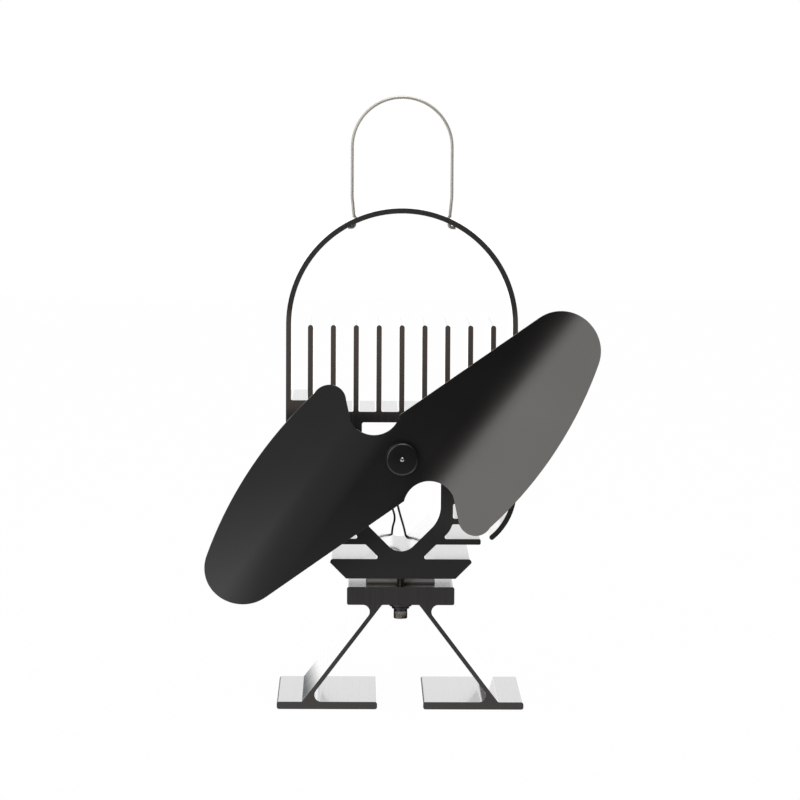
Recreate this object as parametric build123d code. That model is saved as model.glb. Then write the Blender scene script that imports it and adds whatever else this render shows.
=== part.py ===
from build123d import *
import os
from math import cos, hypot, radians, sin, sqrt, tan

# A stove fan: a foot extrusion takes up the heat, a thermoelectric module makes the current,
# a finned extrusion above it gives the heat away and a small motor turns a bent sheet blade.
# X is to the right, Y away from the blade, Z up, in millimetres. While the pieces are made,
# Y is zero on the front faces of both extrusions and Z is zero under the feet.

# Foot extrusion
base_depth = 76.0
base_half_width = 27.25
base_block_thickness = 9.2
base_height = 62.8
base_corner = 1.0
leg_thickness = 2.18
leg_top_x = 7.3
leg_foot_share = 0.749
leg_outer_fillet = 3.5
leg_inner_fillet = 1.0
foot_inner_x = 11.7
foot_width = 51.05
foot_thickness = 3.8
foot_corner = 1.2

# Heat sink extrusion, its rises counted from the top of its block
sink_depth = 57.0
sink_block_half_width = 35.8
sink_block_bottom_half_width = 27.75
sink_block_thickness = 10.05
sink_block_tip = 1.5
arch_outer_radius = 58.4
arch_thickness = 2.6
arch_centre_rise = 119.2
arch_foot_rise = 35.0
arch_hook_radius = 32.3
arch_hook_turn = 50.0
plate_rise = 69.55
plate_thickness = 5.4
plate_step = 5.7
fin_count = 9
fin_pitch = 11.52
fin_thickness = 2.6
fin_length = 43.8
root_chamfer = 0.5
bay_radius = 1.0
core_half_width = 20.0
core_wall = 6.25
core_vee_wall = 7.65
core_bend_radius = 15.8
core_outer_bend_radius = 11.0
core_bottom_radius = 8.7
core_vee_rise = 0.4
side_fin_thickness = 2.9
side_fin_tip_share = 0.28
side_fin_pitch = 10.4
side_fin_first_rise = 8.9
side_fin_first_length = 40.4
side_fin_count = 6
side_fin_gap = 4.8
find_within = 0.1

# Thermoelectric module and the foils on its two faces
module_gap = 4.25
module_size = 35.0
module_front = 11.0
module_plate_thickness = 0.8
foil_thickness = 0.2
seal_inset = 0.5
seal_width = 1.2
pellet_size = 1.8
pellet_pitch = 3.9
pellet_rows = 8

# Clamp bolts with their washers, in front of the module and behind it
bolt_front = 5.5
bolt_back = 51.5
bolt_radius = 2.0
bolt_length = 25.0
bolt_head_radius = 3.5
bolt_head_height = 4.0
bolt_head_edge = 0.4
bolt_socket_width = 3.0
bolt_socket_depth = 2.2
bolt_hole_spare = 0.6
thread_clearance = 0.05
sleeve_radius = 2.9
sleeve_length = 7.0
sleeve_clearance = 0.1
collar_radius = 5.85
collar_thickness = 0.75
cone_radius = 5.6
cone_thickness = 0.4
cone_rise = 0.4
flat_washer_radius = 4.5
flat_washer_thickness = 0.8
lock_washer_radius = 3.5
lock_washer_thickness = 1.2
lock_washer_split = 0.5
washer_clearance = 0.15

# Wire handle, its heights counted from the arch's strip at the two holes that it passes
wire_radius = 0.8
wire_sides = 16
handle_half_width = 25.4
handle_leg_length = 25.3
handle_bend_rise = 11.2
handle_hole_x = 24.4
handle_hole_radius = 1.3
handle_tail_x = 23.9
handle_tail_drop = 4.3
handle_hook_x = 27.4
handle_bend_radius = 6.0
handle_hook_radius = 1.7

# Blade, pressed from one sheet, long axis tilted in the plane of rotation
hub_rise = 53.9
blade_radius = 115.4
blade_tilt = 35.2
blade_root_half = 18.4
blade_tip_radius = 19.25
blade_tip_turn = 146.0
sheet_thickness = 1.2
sheet_front = -21.4
bend_tilt = 17.6
bend_angle = 19.0
bend_radius = 66.0
bend_start = 9.5
notch_corner_share = 0.1
trail_middle_shares = (0.5286, -0.357)
trail_end_shares = (0.143, -0.455)
lobe_middle_shares = (0.058, -0.438)
lobe_end_shares = (0.0497, -0.35)
notch_start_shares = (0.088, -0.26)
notch_middle_shares = (0.0333, -0.1457)

# Hub that holds the blade on the motor's shaft
hub_radius = 8.2
hub_face_radius = 6.7
hub_length = 6.6
hub_shoulder = 1.6
hub_shoulder_steps = 3
spigot_radius = 4.0
spigot_clearance = 0.05
clamp_ring_radius = 7.5
clamp_ring_length = 3.2
clamp_ring_chamfer = 0.8
shaft_radius = 1.0
shaft_proud = 0.3
shaft_press_clearance = 0.02
shaft_bush_clearance = 0.03
shaft_end_clearance = 0.3

# Motor
can_radius = 10.5
can_length = 22.0
can_front = -8.5
can_wall = 1.0
bush_radius = 3.0
bush_nose_length = 1.5
bush_length = 4.0
cap_radius = 9.9
cap_thickness = 2.0
cap_hub_radius = 3.8
cap_hub_length = 1.6
magnet_thickness = 1.6
magnet_length = 14.0
magnet_angle = 130.0
magnet_clearance = 0.1
air_gap = 0.4
armature_length = 9.0
pole_count = 3
pole_neck = 2.0
pole_tip_thickness = 1.2
pole_slot = 2.4
armature_core_radius = 2.4
coil_thickness = 1.3
coil_overhang = 1.2
coil_corner = 0.6
coil_clearance = 0.1
commutator_radius = 2.4
commutator_length = 3.4
magnet_gap = 1.6
brush_thickness = 0.4
brush_width = 1.8
brush_gap = 0.2
brush_start_share = 0.25
terminal_thickness = 0.5
terminal_width = 2.0
terminal_length = 3.0
terminal_angles = (205.0, 245.0)
terminal_radius = 7.6
terminal_clearance = 0.05

# Strap that carries the motor on the front of the heat sink's core
strap_thickness = 1.5
strap_height = 18.0
strap_half_width = 18.5
strap_bend_radius = 2.2
strap_boss_clearance = 0.2
motor_screw_radius = 1.0
motor_screw_x = 7.5
motor_screw_head_radius = 1.9
motor_screw_head_height = 1.3
motor_screw_length = 3.2
strap_screw_radius = 1.5
strap_screw_head_radius = 2.75
strap_screw_head_height = 1.9
strap_screw_length = 8.0
screw_socket_share = 0.5
screw_socket_depth_share = 0.5
screw_edge_share = 0.3
screw_clearance = 0.1

# Leads from the module to the motor, free at neither end: each row of a route is the place
# to the right, the way in from the climb behind the block and the rise above the block
lead_radius = 0.55
lead_sides = 12
lead_behind = 2.2
lead_approach = 9.0
lead_run_share = 0.45
left_lead_x = -4.1
right_lead_x = 4.4
left_route = ((-4.0, 0, 7.1), (-2.2, 6.5, 18.6), (-4.7, 22.0, 33.6))
right_route = ((3.6, 0, 5.1), (-0.8, 8.0, 20.1), (-2.5, 23.0, 31.6))

cut_over = 1.0
os.makedirs("parts", exist_ok=True)


def extruded(profile, front, back):
    """Carry a profile drawn in X and Z along Y, from front to back."""
    return extrude(Plane.XZ.offset(-back) * profile, amount=back - front)


def softened(profile, corners, radius):
    """Round the corners of a profile that lie nearest to the given places."""
    picked = [profile.vertices().sort_by_distance((x, z, 0))[0] for x, z in corners]
    return fillet(picked, radius)


def eased(profile, corners, size):
    """Take small corners of a profile off with a chamfer."""
    picked = [profile.vertices().sort_by_distance((x, z, 0))[0] for x, z in corners]
    return chamfer(picked, size)


def upright(radius, low, high, x=0.0, y=0.0):
    """A cylinder along Z."""
    return Pos(x, y, (low + high) / 2) * Cylinder(radius, high - low)


def lying(radius, front, back, x=0.0, z=0.0):
    """A cylinder along Y."""
    return Pos(x, (front + back) / 2, z) * Rot(90, 0, 0) * Cylinder(radius, back - front)


def on_shaft(points):
    """Turn a closed outline of radius and Y about the shaft's axis."""
    outline = make_face(Polyline(*points, close=True))
    return Pos(0, 0, hub_z) * revolve(outline, Axis.Y)


def block(x, y, z):
    """A box between two limits along each axis."""
    size = (x[1] - x[0], y[1] - y[0], z[1] - z[0])
    return Pos((x[0] + x[1]) / 2, (y[0] + y[1]) / 2, (z[0] + z[1]) / 2) * Box(*size)


# Heights and places that follow from the sizes above
base_block_bottom = base_height - base_block_thickness
sink_bottom = base_height + module_gap
sink_block_top = sink_bottom + sink_block_thickness
core_vee_z = sink_block_top + core_vee_rise
side_fin_first_z = sink_block_top + side_fin_first_rise
arch_foot_z = sink_block_top + arch_foot_rise
arch_centre_z = sink_block_top + arch_centre_rise
plate_bottom_z = sink_block_top + plate_rise
hub_z = sink_block_top + hub_rise
plate_top = plate_bottom_z + plate_thickness
step_top = plate_top + plate_step
fin_top = plate_top + fin_length
arch_inner_radius = arch_outer_radius - arch_thickness
core_outer_x = core_half_width + core_wall
bolt_places = (bolt_front, bolt_back)
handle_y = sink_depth / 2
arch_middle_radius = arch_outer_radius - arch_thickness / 2
handle_hole_z = arch_centre_z + sqrt(arch_middle_radius ** 2 - handle_hole_x ** 2)
handle_bend_z = handle_hole_z + handle_bend_rise
handle_centre_z = handle_bend_z + handle_leg_length
handle_tail_z = handle_hole_z - handle_tail_drop
sheet_back = sheet_front + sheet_thickness


def base_profile():
    """The foot extrusion's section: a block on two splayed legs, each with a flat foot."""
    block_middle = base_height - base_block_thickness / 2
    profile = Pos(0, block_middle) * RectangleRounded(
        2 * base_half_width, base_block_thickness, base_corner)
    foot_x = foot_inner_x + foot_width * leg_foot_share
    rise = block_middle - foot_thickness / 2
    run = foot_x - leg_top_x
    length = hypot(rise, run)
    half = leg_thickness / 2 * length / rise
    corners = {"outer": [], "inner": []}
    for side in (-1, 1):
        middle = Pos(side * (leg_top_x + foot_x) / 2, (block_middle + foot_thickness / 2) / 2)
        leg = middle * Rot(0, 0, side * Vector(0, 1).get_angle(Vector(run, rise))) * Rectangle(
            leg_thickness, length)
        foot = Pos(side * (foot_inner_x + foot_width / 2), foot_thickness / 2) * RectangleRounded(
            foot_width, foot_thickness, foot_corner)
        profile += leg + foot
        under_x = leg_top_x + run / rise * (block_middle - base_block_bottom)
        over_x = leg_top_x + run / rise * (block_middle - foot_thickness)
        corners["outer"] += [(side * (under_x + half), base_block_bottom)]
        corners["outer"] += [(side * (over_x - half), foot_thickness)]
        corners["inner"] += [(side * (under_x - half), base_block_bottom)]
        corners["inner"] += [(side * (over_x + half), foot_thickness)]
    profile = softened(profile, corners["outer"], leg_outer_fillet)
    return softened(profile, corners["inner"], leg_inner_fillet)


def base_extrusion():
    part = extruded(base_profile(), 0, base_depth)
    for y in bolt_places:
        part -= upright(sleeve_radius + sleeve_clearance, base_block_bottom - cut_over,
                        base_height + cut_over, y=y)
    return part


def arch_profile():
    """The long strip of the heat sink: two straight sides, an arch and two hooks below."""
    ring = Circle(arch_outer_radius) - Circle(arch_inner_radius)
    top_half = Pos(0, arch_outer_radius) * Rectangle(2 * arch_outer_radius + cut_over,
                                                     2 * arch_outer_radius)
    strip = Pos(0, arch_centre_z) * (ring & top_half)
    side_x = arch_middle_radius
    side_height = arch_centre_z - arch_foot_z
    hook_x = arch_outer_radius - arch_hook_radius
    hook_middle = arch_hook_radius - arch_thickness / 2
    turn = radians(arch_hook_turn)
    for side in (-1, 1):
        strip += Pos(side * side_x, arch_foot_z + side_height / 2) * Rectangle(
            arch_thickness, side_height)
        tip = (hook_x + hook_middle * cos(turn), arch_foot_z - hook_middle * sin(turn))
        wedge = make_face(Polyline((hook_x, arch_foot_z),
                                   (hook_x + 2 * arch_hook_radius, arch_foot_z),
                                   (hook_x + 2 * arch_hook_radius * cos(turn),
                                    arch_foot_z - 2 * arch_hook_radius * sin(turn)), close=True))
        hook_ring = Circle(arch_hook_radius) - Circle(arch_hook_radius - arch_thickness)
        hook = (Pos(hook_x, arch_foot_z) * hook_ring) & wedge
        hook += Pos(*tip) * Circle(arch_thickness / 2)
        strip += hook if side > 0 else mirror(hook, about=Plane.YZ)
    return strip


def vee_corners(half_width, offset):
    """Corners of the keyhole's lower part at a distance outside its 45 degree lines."""
    low = core_vee_z - offset * sqrt(2)
    return (half_width, half_width + low), low


def opening_profile():
    """The keyhole opening: upright sides that run into a rounded vee."""
    (side_x, side_z), low = vee_corners(core_half_width, 0)
    outline = make_face(Polyline((-side_x, plate_bottom_z), (side_x, plate_bottom_z),
                                 (side_x, side_z), (0, low), (-side_x, side_z), close=True))
    outline = softened(outline, [(side_x, side_z), (-side_x, side_z)], core_bend_radius)
    outline = softened(outline, [(0, low)], core_bottom_radius)
    tops = [(side_x, plate_bottom_z), (-side_x, plate_bottom_z)]
    return softened(outline, tops, bay_radius)


def arch_inner_x(z):
    """Half the clear width between the strip's sides at a height."""
    if z >= arch_foot_z:
        return arch_inner_radius
    inner = arch_hook_radius - arch_thickness
    return arch_outer_radius - arch_hook_radius + sqrt(inner ** 2 - (arch_foot_z - z) ** 2)


def core_profile():
    """The walls round the keyhole, with the block under them and the fins beside them."""
    (side_x, side_z), low = vee_corners(core_outer_x, core_vee_wall)
    plate_middle = plate_bottom_z + plate_thickness / 2
    root_z = sink_block_top - sink_block_thickness / 2
    root_x = root_z - low
    core = make_face(Polyline((-side_x, plate_middle), (side_x, plate_middle),
                              (side_x, side_z), (root_x, root_z), (-root_x, root_z),
                              (-side_x, side_z), close=True))
    core = softened(core, [(side_x, side_z), (-side_x, side_z)], core_outer_bend_radius)
    reach = sink_block_half_width - sink_block_bottom_half_width
    low_block = make_face(Polyline(
        (-sink_block_bottom_half_width, sink_bottom), (sink_block_bottom_half_width, sink_bottom),
        (sink_block_half_width, sink_bottom + reach), (sink_block_half_width, sink_block_top),
        (-sink_block_half_width, sink_block_top), (-sink_block_half_width, sink_bottom + reach),
        close=True))
    tips = [(side * sink_block_half_width, sink_block_top) for side in (-1, 1)]
    core += softened(low_block, tips, sink_block_tip)
    for row in range(side_fin_count):
        z = side_fin_first_z + row * side_fin_pitch
        end = side_fin_first_length if row == 0 else arch_inner_x(z) - side_fin_gap
        core += Pos(0, z) * RectangleRounded(
            2 * end, side_fin_thickness, side_fin_thickness * side_fin_tip_share)
    return core


def bay_corners(profile):
    """Inner corners of the bays between the side fins, the core and the plate."""
    found = []
    for row in range(side_fin_count):
        for face in (-1, 1):
            z = side_fin_first_z + row * side_fin_pitch + face * side_fin_thickness / 2
            found += [(v.X, v.Y) for v in profile.vertices()
                      if abs(v.Y - z) < find_within and abs(v.X) <= core_outer_x]
    low_x = sink_block_top - core_vee_z + core_vee_wall * sqrt(2)
    found += [(side * low_x, sink_block_top) for side in (-1, 1)]
    found += [(side * core_outer_x, plate_bottom_z) for side in (-1, 1)]
    return found


def sink_profile():
    """The heat sink's whole section."""
    plate_middle = plate_bottom_z + plate_thickness / 2
    plate = Pos(0, plate_middle) * Rectangle(2 * arch_inner_radius + arch_thickness,
                                             plate_thickness)
    profile = arch_profile() + core_profile() + plate
    last_fin_x = fin_pitch * (fin_count - 1) / 2
    step_width = arch_inner_radius - last_fin_x + arch_thickness / 2
    for side in (-1, 1):
        profile += Pos(side * (last_fin_x + step_width / 2), plate_middle + plate_step / 2) * (
            Rectangle(step_width, plate_thickness + plate_step))
    for index in range(fin_count):
        x = (index - (fin_count - 1) / 2) * fin_pitch
        fin = Pos(0, plate_top + fin_length / 2 - fin_thickness / 4) * Rectangle(
            fin_thickness, fin_length - fin_thickness / 2)
        fin += Pos(0, fin_top - fin_thickness / 2) * Circle(fin_thickness / 2)
        profile += Pos(x, 0) * fin
    profile = softened(profile, bay_corners(profile), bay_radius)
    roots = []
    for index in range(fin_count):
        for face in (-1, 1):
            x = (index - (fin_count - 1) / 2) * fin_pitch + face * fin_thickness / 2
            inner = abs(x) < last_fin_x
            roots += [(x, plate_top if inner else step_top)]
    roots += [(side * arch_inner_radius, step_top) for side in (-1, 1)]
    roots += [(side * arch_inner_radius, plate_bottom_z) for side in (-1, 1)]
    return eased(profile, roots, root_chamfer) - opening_profile()


def upper_heat_sink():
    part = extruded(sink_profile(), 0, sink_depth)
    hole_top = bolt_top() + bolt_hole_spare
    for y in bolt_places:
        part -= upright(bolt_radius + thread_clearance, sink_bottom - cut_over, hole_top, y=y)
    screw_depth = strap_screw_length - strap_thickness + bolt_hole_spare
    for side in (-1, 1):
        part -= upright(handle_hole_radius, arch_centre_z + arch_inner_radius / 2,
                        arch_centre_z + arch_outer_radius, side * handle_hole_x, handle_y)
        part -= lying(strap_screw_radius + thread_clearance, -cut_over, screw_depth,
                      side * (core_half_width + core_wall / 2), hub_z)
    return part


def bolt_top():
    """Where the clamp bolts end inside the heat sink."""
    return lock_washer_top() - lock_washer_thickness + bolt_length


def lock_washer_top():
    stack = collar_thickness + cone_thickness + cone_rise + flat_washer_thickness
    return base_block_bottom - stack


def module_slab(low, thickness, size):
    """A square slab of the module, centred between the clamp bolts."""
    middle = module_front + module_size / 2
    return Pos(0, middle, low + thickness / 2) * Box(size, size, thickness)


def module_pieces():
    """Foils, ceramic plates, the pellets between them and the seal round the edge."""
    plate = module_plate_thickness
    layer_low = base_height + foil_thickness + plate
    layer = module_gap - 2 * (foil_thickness + plate)
    outer = module_size - 2 * seal_inset
    seal = module_slab(layer_low, layer, outer)
    seal -= module_slab(layer_low - cut_over, layer + 2 * cut_over, outer - 2 * seal_width)
    middle = module_front + module_size / 2
    places = GridLocations(pellet_pitch, pellet_pitch, pellet_rows, pellet_rows)
    pellet = Pos(0, middle, layer_low + layer / 2)
    pellets = [pellet * place * Box(pellet_size, pellet_size, layer) for place in places]
    return {
        "hot_foil": module_slab(base_height, foil_thickness, module_size),
        "module_hot_plate": module_slab(layer_low - plate, plate, module_size),
        "module_pellets": Compound(pellets),
        "module_seal": seal,
        "module_cold_plate": module_slab(layer_low + layer, plate, module_size),
        "cold_foil": module_slab(layer_low + layer + plate, foil_thickness, module_size),
    }


def turned_washer(points):
    """Turn a washer's section, given as radius and height, about Z."""
    return revolve(Plane.XZ * make_face(Polyline(*points, close=True)), Axis.Z)


def socket_bolt():
    """A cap screw, head down, with the top of its head at height zero."""
    head = upright(bolt_head_radius, -bolt_head_height, 0)
    head = chamfer(head.edges().group_by(Axis.Z)[0], bolt_head_edge)
    head -= Pos(0, 0, -bolt_head_height) * extrude(
        RegularPolygon(bolt_socket_width / 2, 6, major_radius=False), bolt_socket_depth)
    shank = upright(bolt_radius, 0, bolt_length)
    return head + chamfer(shank.edges().group_by(Axis.Z)[-1], bolt_head_edge)


def clamp_pieces():
    """The two clamp bolts and the stack of washers under each."""
    inner = bolt_radius + washer_clearance
    top = base_block_bottom
    low = top - collar_thickness
    insulator = turned_washer([(inner, low), (collar_radius, low), (collar_radius, top),
                               (sleeve_radius, top), (sleeve_radius, top + sleeve_length),
                               (inner, top + sleeve_length)])
    cone_low = low - cone_rise
    cone = turned_washer([(inner, cone_low - cone_thickness), (cone_radius, low - cone_thickness),
                          (cone_radius, low), (inner, cone_low)])
    flat_top = cone_low - cone_thickness
    flat = turned_washer([(inner, flat_top - flat_washer_thickness),
                          (flat_washer_radius, flat_top - flat_washer_thickness),
                          (flat_washer_radius, flat_top), (inner, flat_top)])
    lock_top = lock_washer_top()
    lock = turned_washer([(inner, lock_top - lock_washer_thickness),
                          (lock_washer_radius, lock_top - lock_washer_thickness),
                          (lock_washer_radius, lock_top), (inner, lock_top)])
    lock -= block((0, lock_washer_radius + cut_over),
                  (-lock_washer_split / 2, lock_washer_split / 2),
                  (lock_top - lock_washer_thickness - cut_over, lock_top + cut_over))
    bolt = Pos(0, 0, lock_top - lock_washer_thickness) * socket_bolt()
    shapes = {"insulating_washers": insulator, "spring_washers": cone, "flat_washers": flat,
              "lock_washers": lock, "clamp_bolts": bolt}
    return {name: Compound([Pos(0, y, 0) * shape for y in bolt_places])
            for name, shape in shapes.items()}


def handle_wire():
    """One wire: a hook under the arch, a leg, a half round and the same again."""
    side = [(handle_hook_x, handle_tail_z), (handle_tail_x, handle_tail_z),
            (handle_half_width, handle_bend_z), (handle_half_width, handle_centre_z)]
    radii = [handle_hook_radius, handle_bend_radius]
    left = FilletPolyline(*[(-x, handle_y, z) for x, z in side], radius=radii)
    right = FilletPolyline(*[(x, handle_y, z) for x, z in reversed(side)], radius=radii[::-1])
    over = ThreePointArc(left @ 1, (0, handle_y, handle_centre_z + handle_half_width), right @ 0)
    path = Wire(left.edges() + [over.edge()] + right.edges())
    section = Plane(origin=path @ 0, z_dir=path % 0) * RegularPolygon(wire_radius, wire_sides)
    return sweep(section, path=path)


def blade_outline():
    """The blade seen along its shaft, long axis level: one wing and the same turned round."""
    def share(shares):
        return (blade_radius * shares[0], blade_radius * shares[1])

    corner = (blade_radius * notch_corner_share, blade_root_half)
    tip_x = blade_radius - blade_tip_radius
    tip_start = (tip_x, blade_root_half)
    turn = radians(blade_tip_turn - 90)
    tip_end = (tip_x + blade_tip_radius * cos(turn),
               blade_root_half - blade_tip_radius * (1 + sin(turn)))
    wing = [Line(corner, tip_start), TangentArc(tip_start, tip_end, tangent=(1, 0))]
    wing += [ThreePointArc(tip_end, share(trail_middle_shares), share(trail_end_shares))]
    wing += [ThreePointArc(share(trail_end_shares), share(lobe_middle_shares),
                           share(lobe_end_shares))]
    wing += [Line(share(lobe_end_shares), share(notch_start_shares))]
    wing += [ThreePointArc(share(notch_start_shares), share(notch_middle_shares),
                           (-corner[0], -corner[1]))]
    return make_face(Curve() + wing + [Rot(0, 0, 180) * edge for edge in wing])


def sheet_section():
    """The bent sheet across its bends: flat in the middle, both sides curved to the front."""
    reach = blade_radius
    front = JernArc((bend_start, sheet_front), (1, 0), bend_radius, -bend_angle)
    back = JernArc((bend_start, sheet_back), (1, 0), bend_radius + sheet_thickness, -bend_angle)
    front_end = front @ 1 + (front % 1) * reach
    back_end = back @ 1 + (back % 1) * reach
    lines = [Line((0, sheet_front), front @ 0), front, Line(front @ 1, front_end)]
    lines += [Line(front_end, back_end), Line(back_end, back @ 1), back]
    lines += [Line(back @ 0, (0, sheet_back)), Line((0, sheet_back), (0, sheet_front))]
    half = make_face(Curve() + lines)
    return half + mirror(half, about=Plane.YZ)


def fan_blade():
    """The outline cut from a sheet that is bent along two slanting lines."""
    ruling = radians(blade_tilt + bend_tilt)
    across = Plane(origin=(0, 0, hub_z), x_dir=(sin(ruling), 0, -cos(ruling)),
                   z_dir=(cos(ruling), 0, sin(ruling)))
    sheet = extrude(across * sheet_section(), amount=2 * blade_radius, both=True)
    outline = Pos(0, hub_z) * Rot(0, 0, blade_tilt) * blade_outline()
    part = sheet & extruded(outline, sheet_front - blade_radius, sheet_back + cut_over)
    return part - lying(spigot_radius + spigot_clearance, sheet_front - cut_over,
                        sheet_back + cut_over, z=hub_z)


def hub_pieces():
    """A turned hub in front of the blade and the ring that clamps the blade from behind."""
    front = sheet_front - hub_length
    bore = shaft_radius + shaft_press_clearance
    back = sheet_back + clamp_ring_length
    outline = [(bore, front)]
    for step in range(hub_shoulder_steps + 1):
        turn = radians(90 * step / hub_shoulder_steps)
        outline += [(hub_face_radius + (hub_radius - hub_face_radius) * sin(turn),
                     front + hub_shoulder * (1 - cos(turn)))]
    outline += [(hub_radius, sheet_front), (spigot_radius, sheet_front),
                (spigot_radius, back), (bore, back)]
    inner = spigot_radius + spigot_clearance
    ring = on_shaft([(inner, sheet_back), (clamp_ring_radius, sheet_back),
                     (clamp_ring_radius, back - clamp_ring_chamfer),
                     (clamp_ring_radius - clamp_ring_chamfer, back), (inner, back)])
    return {"blade_hub": on_shaft(outline), "blade_clamp_ring": ring}


# Places along the motor, counted from its front
can_back = can_front + can_length
cap_back = can_back + cap_thickness
magnet_front = can_front + can_wall + magnet_gap
magnet_outer = can_radius - can_wall - magnet_clearance
armature_radius = magnet_outer - magnet_thickness - air_gap
armature_front = magnet_front + (magnet_length - armature_length) / 2
commutator_front = armature_front + armature_length + coil_overhang + coil_thickness / 2
bush_inner = shaft_radius + shaft_bush_clearance
cap_inner_back = can_back - cap_hub_length


def motor_case():
    """The drawn can with its two bushes, the plastic cap, the magnets and the terminals."""
    inner = can_radius - can_wall
    can = on_shaft([(bush_radius, can_front), (can_radius - can_wall / 2, can_front),
                    (can_radius, can_front + can_wall / 2), (can_radius, can_back),
                    (inner, can_back), (inner, can_front + can_wall),
                    (bush_radius, can_front + can_wall)])
    for side in (-1, 1):
        can -= lying(motor_screw_radius + thread_clearance, can_front - cut_over,
                     can_front + can_wall + cut_over, side * motor_screw_x, hub_z)
    front_bush = on_shaft([(bush_inner, can_front - bush_nose_length),
                           (bush_radius, can_front - bush_nose_length),
                           (bush_radius, can_front - bush_nose_length + bush_length),
                           (bush_inner, can_front - bush_nose_length + bush_length)])
    plug = inner - magnet_clearance
    cap = on_shaft([(bush_radius, cap_inner_back), (plug, cap_inner_back), (plug, can_back),
                    (cap_radius, can_back), (cap_radius, cap_back),
                    (cap_hub_radius, cap_back), (cap_hub_radius, cap_back + cap_hub_length),
                    (0, cap_back + cap_hub_length), (0, cap_back + cap_hub_length / 2),
                    (bush_radius, cap_back + cap_hub_length / 2)])
    rear_bush = on_shaft([(bush_inner, cap_inner_back), (bush_radius, cap_inner_back),
                          (bush_radius, cap_back + cap_hub_length / 2),
                          (bush_inner, cap_back + cap_hub_length / 2)])
    tabs = []
    for angle in terminal_angles:
        x, z = terminal_place(angle)
        tab = block((-terminal_width / 2, terminal_width / 2),
                    (cap_inner_back, cap_back + terminal_length),
                    (-terminal_thickness / 2, terminal_thickness / 2))
        tab = Pos(x, 0, z) * Rot(0, 90 - angle, 0) * tab
        cap -= terminal_slot(x, z, angle)
        tabs += [tab]
    return {"motor_can": can, "front_bush": front_bush, "motor_cap": cap,
            "rear_bush": rear_bush, "motor_terminals": Compound(tabs)}


def terminal_place(angle):
    turn = radians(angle)
    return terminal_radius * cos(turn), hub_z + terminal_radius * sin(turn)


def terminal_slot(x, z, angle):
    """The slot in the cap that a terminal passes through."""
    half_width = terminal_width / 2 + terminal_clearance
    half_height = terminal_thickness / 2 + terminal_clearance
    slot = block((-half_width, half_width), (cap_inner_back - cut_over, cap_back + cut_over),
                 (-half_height, half_height))
    return Pos(x, 0, z) * Rot(0, 90 - angle, 0) * slot


def magnet_pieces():
    """Two magnet tiles against the can's wall."""
    tile = on_shaft([(magnet_outer - magnet_thickness, magnet_front), (magnet_outer, magnet_front),
                     (magnet_outer, magnet_front + magnet_length),
                     (magnet_outer - magnet_thickness, magnet_front + magnet_length)])
    half = radians((180 - magnet_angle) / 2)
    reach = 2 * can_radius
    rise = reach * sin(half)
    run = reach * cos(half)
    wedge = make_face(Polyline((0, hub_z), (run, hub_z + rise), (0, hub_z + 2 * reach),
                               (-run, hub_z + rise), close=True))
    upper = tile & extruded(wedge, magnet_front - cut_over,
                            magnet_front + magnet_length + cut_over)
    lower = Pos(0, 0, 2 * hub_z) * mirror(upper, about=Plane.XY)
    return Compound([upper, lower])


def armature_pieces():
    """Shaft, three-pole core, its coils and the commutator."""
    back = cap_back + cap_hub_length / 2 - shaft_end_clearance
    front = sheet_front - hub_length - shaft_proud
    shaft = lying(shaft_radius, front, back, z=hub_z)
    shaft = chamfer(shaft.edges().group_by(Axis.Y)[0], shaft_proud / 2)
    armature_back = armature_front + armature_length
    tip_inner = armature_radius - pole_tip_thickness
    section = Circle(armature_core_radius) + (Circle(armature_radius) - Circle(tip_inner))
    coils = []
    neck_length = (tip_inner + armature_radius) / 2
    coil_low = armature_core_radius + coil_clearance
    coil_height = tip_inner - coil_clearance - coil_low
    for index in range(pole_count):
        turn = 90 + 360 * index / pole_count
        section += Rot(0, 0, turn) * Pos(neck_length / 2, 0) * Rectangle(neck_length, pole_neck)
        section -= Rot(0, 0, turn + 180 / pole_count) * Pos(armature_radius, 0) * Rectangle(
            2 * pole_tip_thickness + cut_over, pole_slot)
        hole = pole_neck + 2 * coil_clearance
        width = hole + 2 * coil_thickness
        length = armature_length + 2 * coil_clearance
        coil = block((coil_low, coil_low + coil_height), (-coil_overhang - coil_clearance,
                     armature_length + coil_overhang + coil_clearance), (-width / 2, width / 2))
        coil = chamfer(coil.edges().filter_by(Axis.X), coil_corner)
        coil -= block((coil_low - cut_over, coil_low + coil_height + cut_over),
                      (-coil_clearance, length - coil_clearance), (-hole / 2, hole / 2))
        outer = lying(tip_inner - coil_clearance, -2 * coil_overhang,
                      armature_length + 2 * coil_overhang)
        coil &= outer
        coils += [Pos(0, armature_front, hub_z) * Rot(0, -turn, 0) * coil]
    core = extruded(Pos(0, hub_z) * section, armature_front, armature_back)
    hole = lying(shaft_radius + shaft_press_clearance, armature_front - cut_over,
                 armature_back + cut_over, z=hub_z)
    ring = lying(commutator_radius, commutator_front, commutator_front + commutator_length,
                 z=hub_z)
    ring -= lying(shaft_radius + shaft_press_clearance, commutator_front - cut_over,
                  commutator_front + commutator_length + cut_over, z=hub_z)
    return {"motor_shaft": shaft, "armature_core": core - hole,
            "armature_coils": Compound(coils), "commutator": ring}


def brush_pieces():
    """Two leaf brushes that stand on the cap and lie along the commutator."""
    low = commutator_radius + brush_gap
    leaves = []
    for side in (-1, 1):
        z = (low, low + brush_thickness) if side > 0 else (-low - brush_thickness, -low)
        leaf = block((-brush_width / 2, brush_width / 2),
                     (commutator_front + commutator_length * brush_start_share, cap_inner_back), z)
        leaves += [Pos(0, 0, hub_z) * leaf]
    return Compound(leaves)


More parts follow.
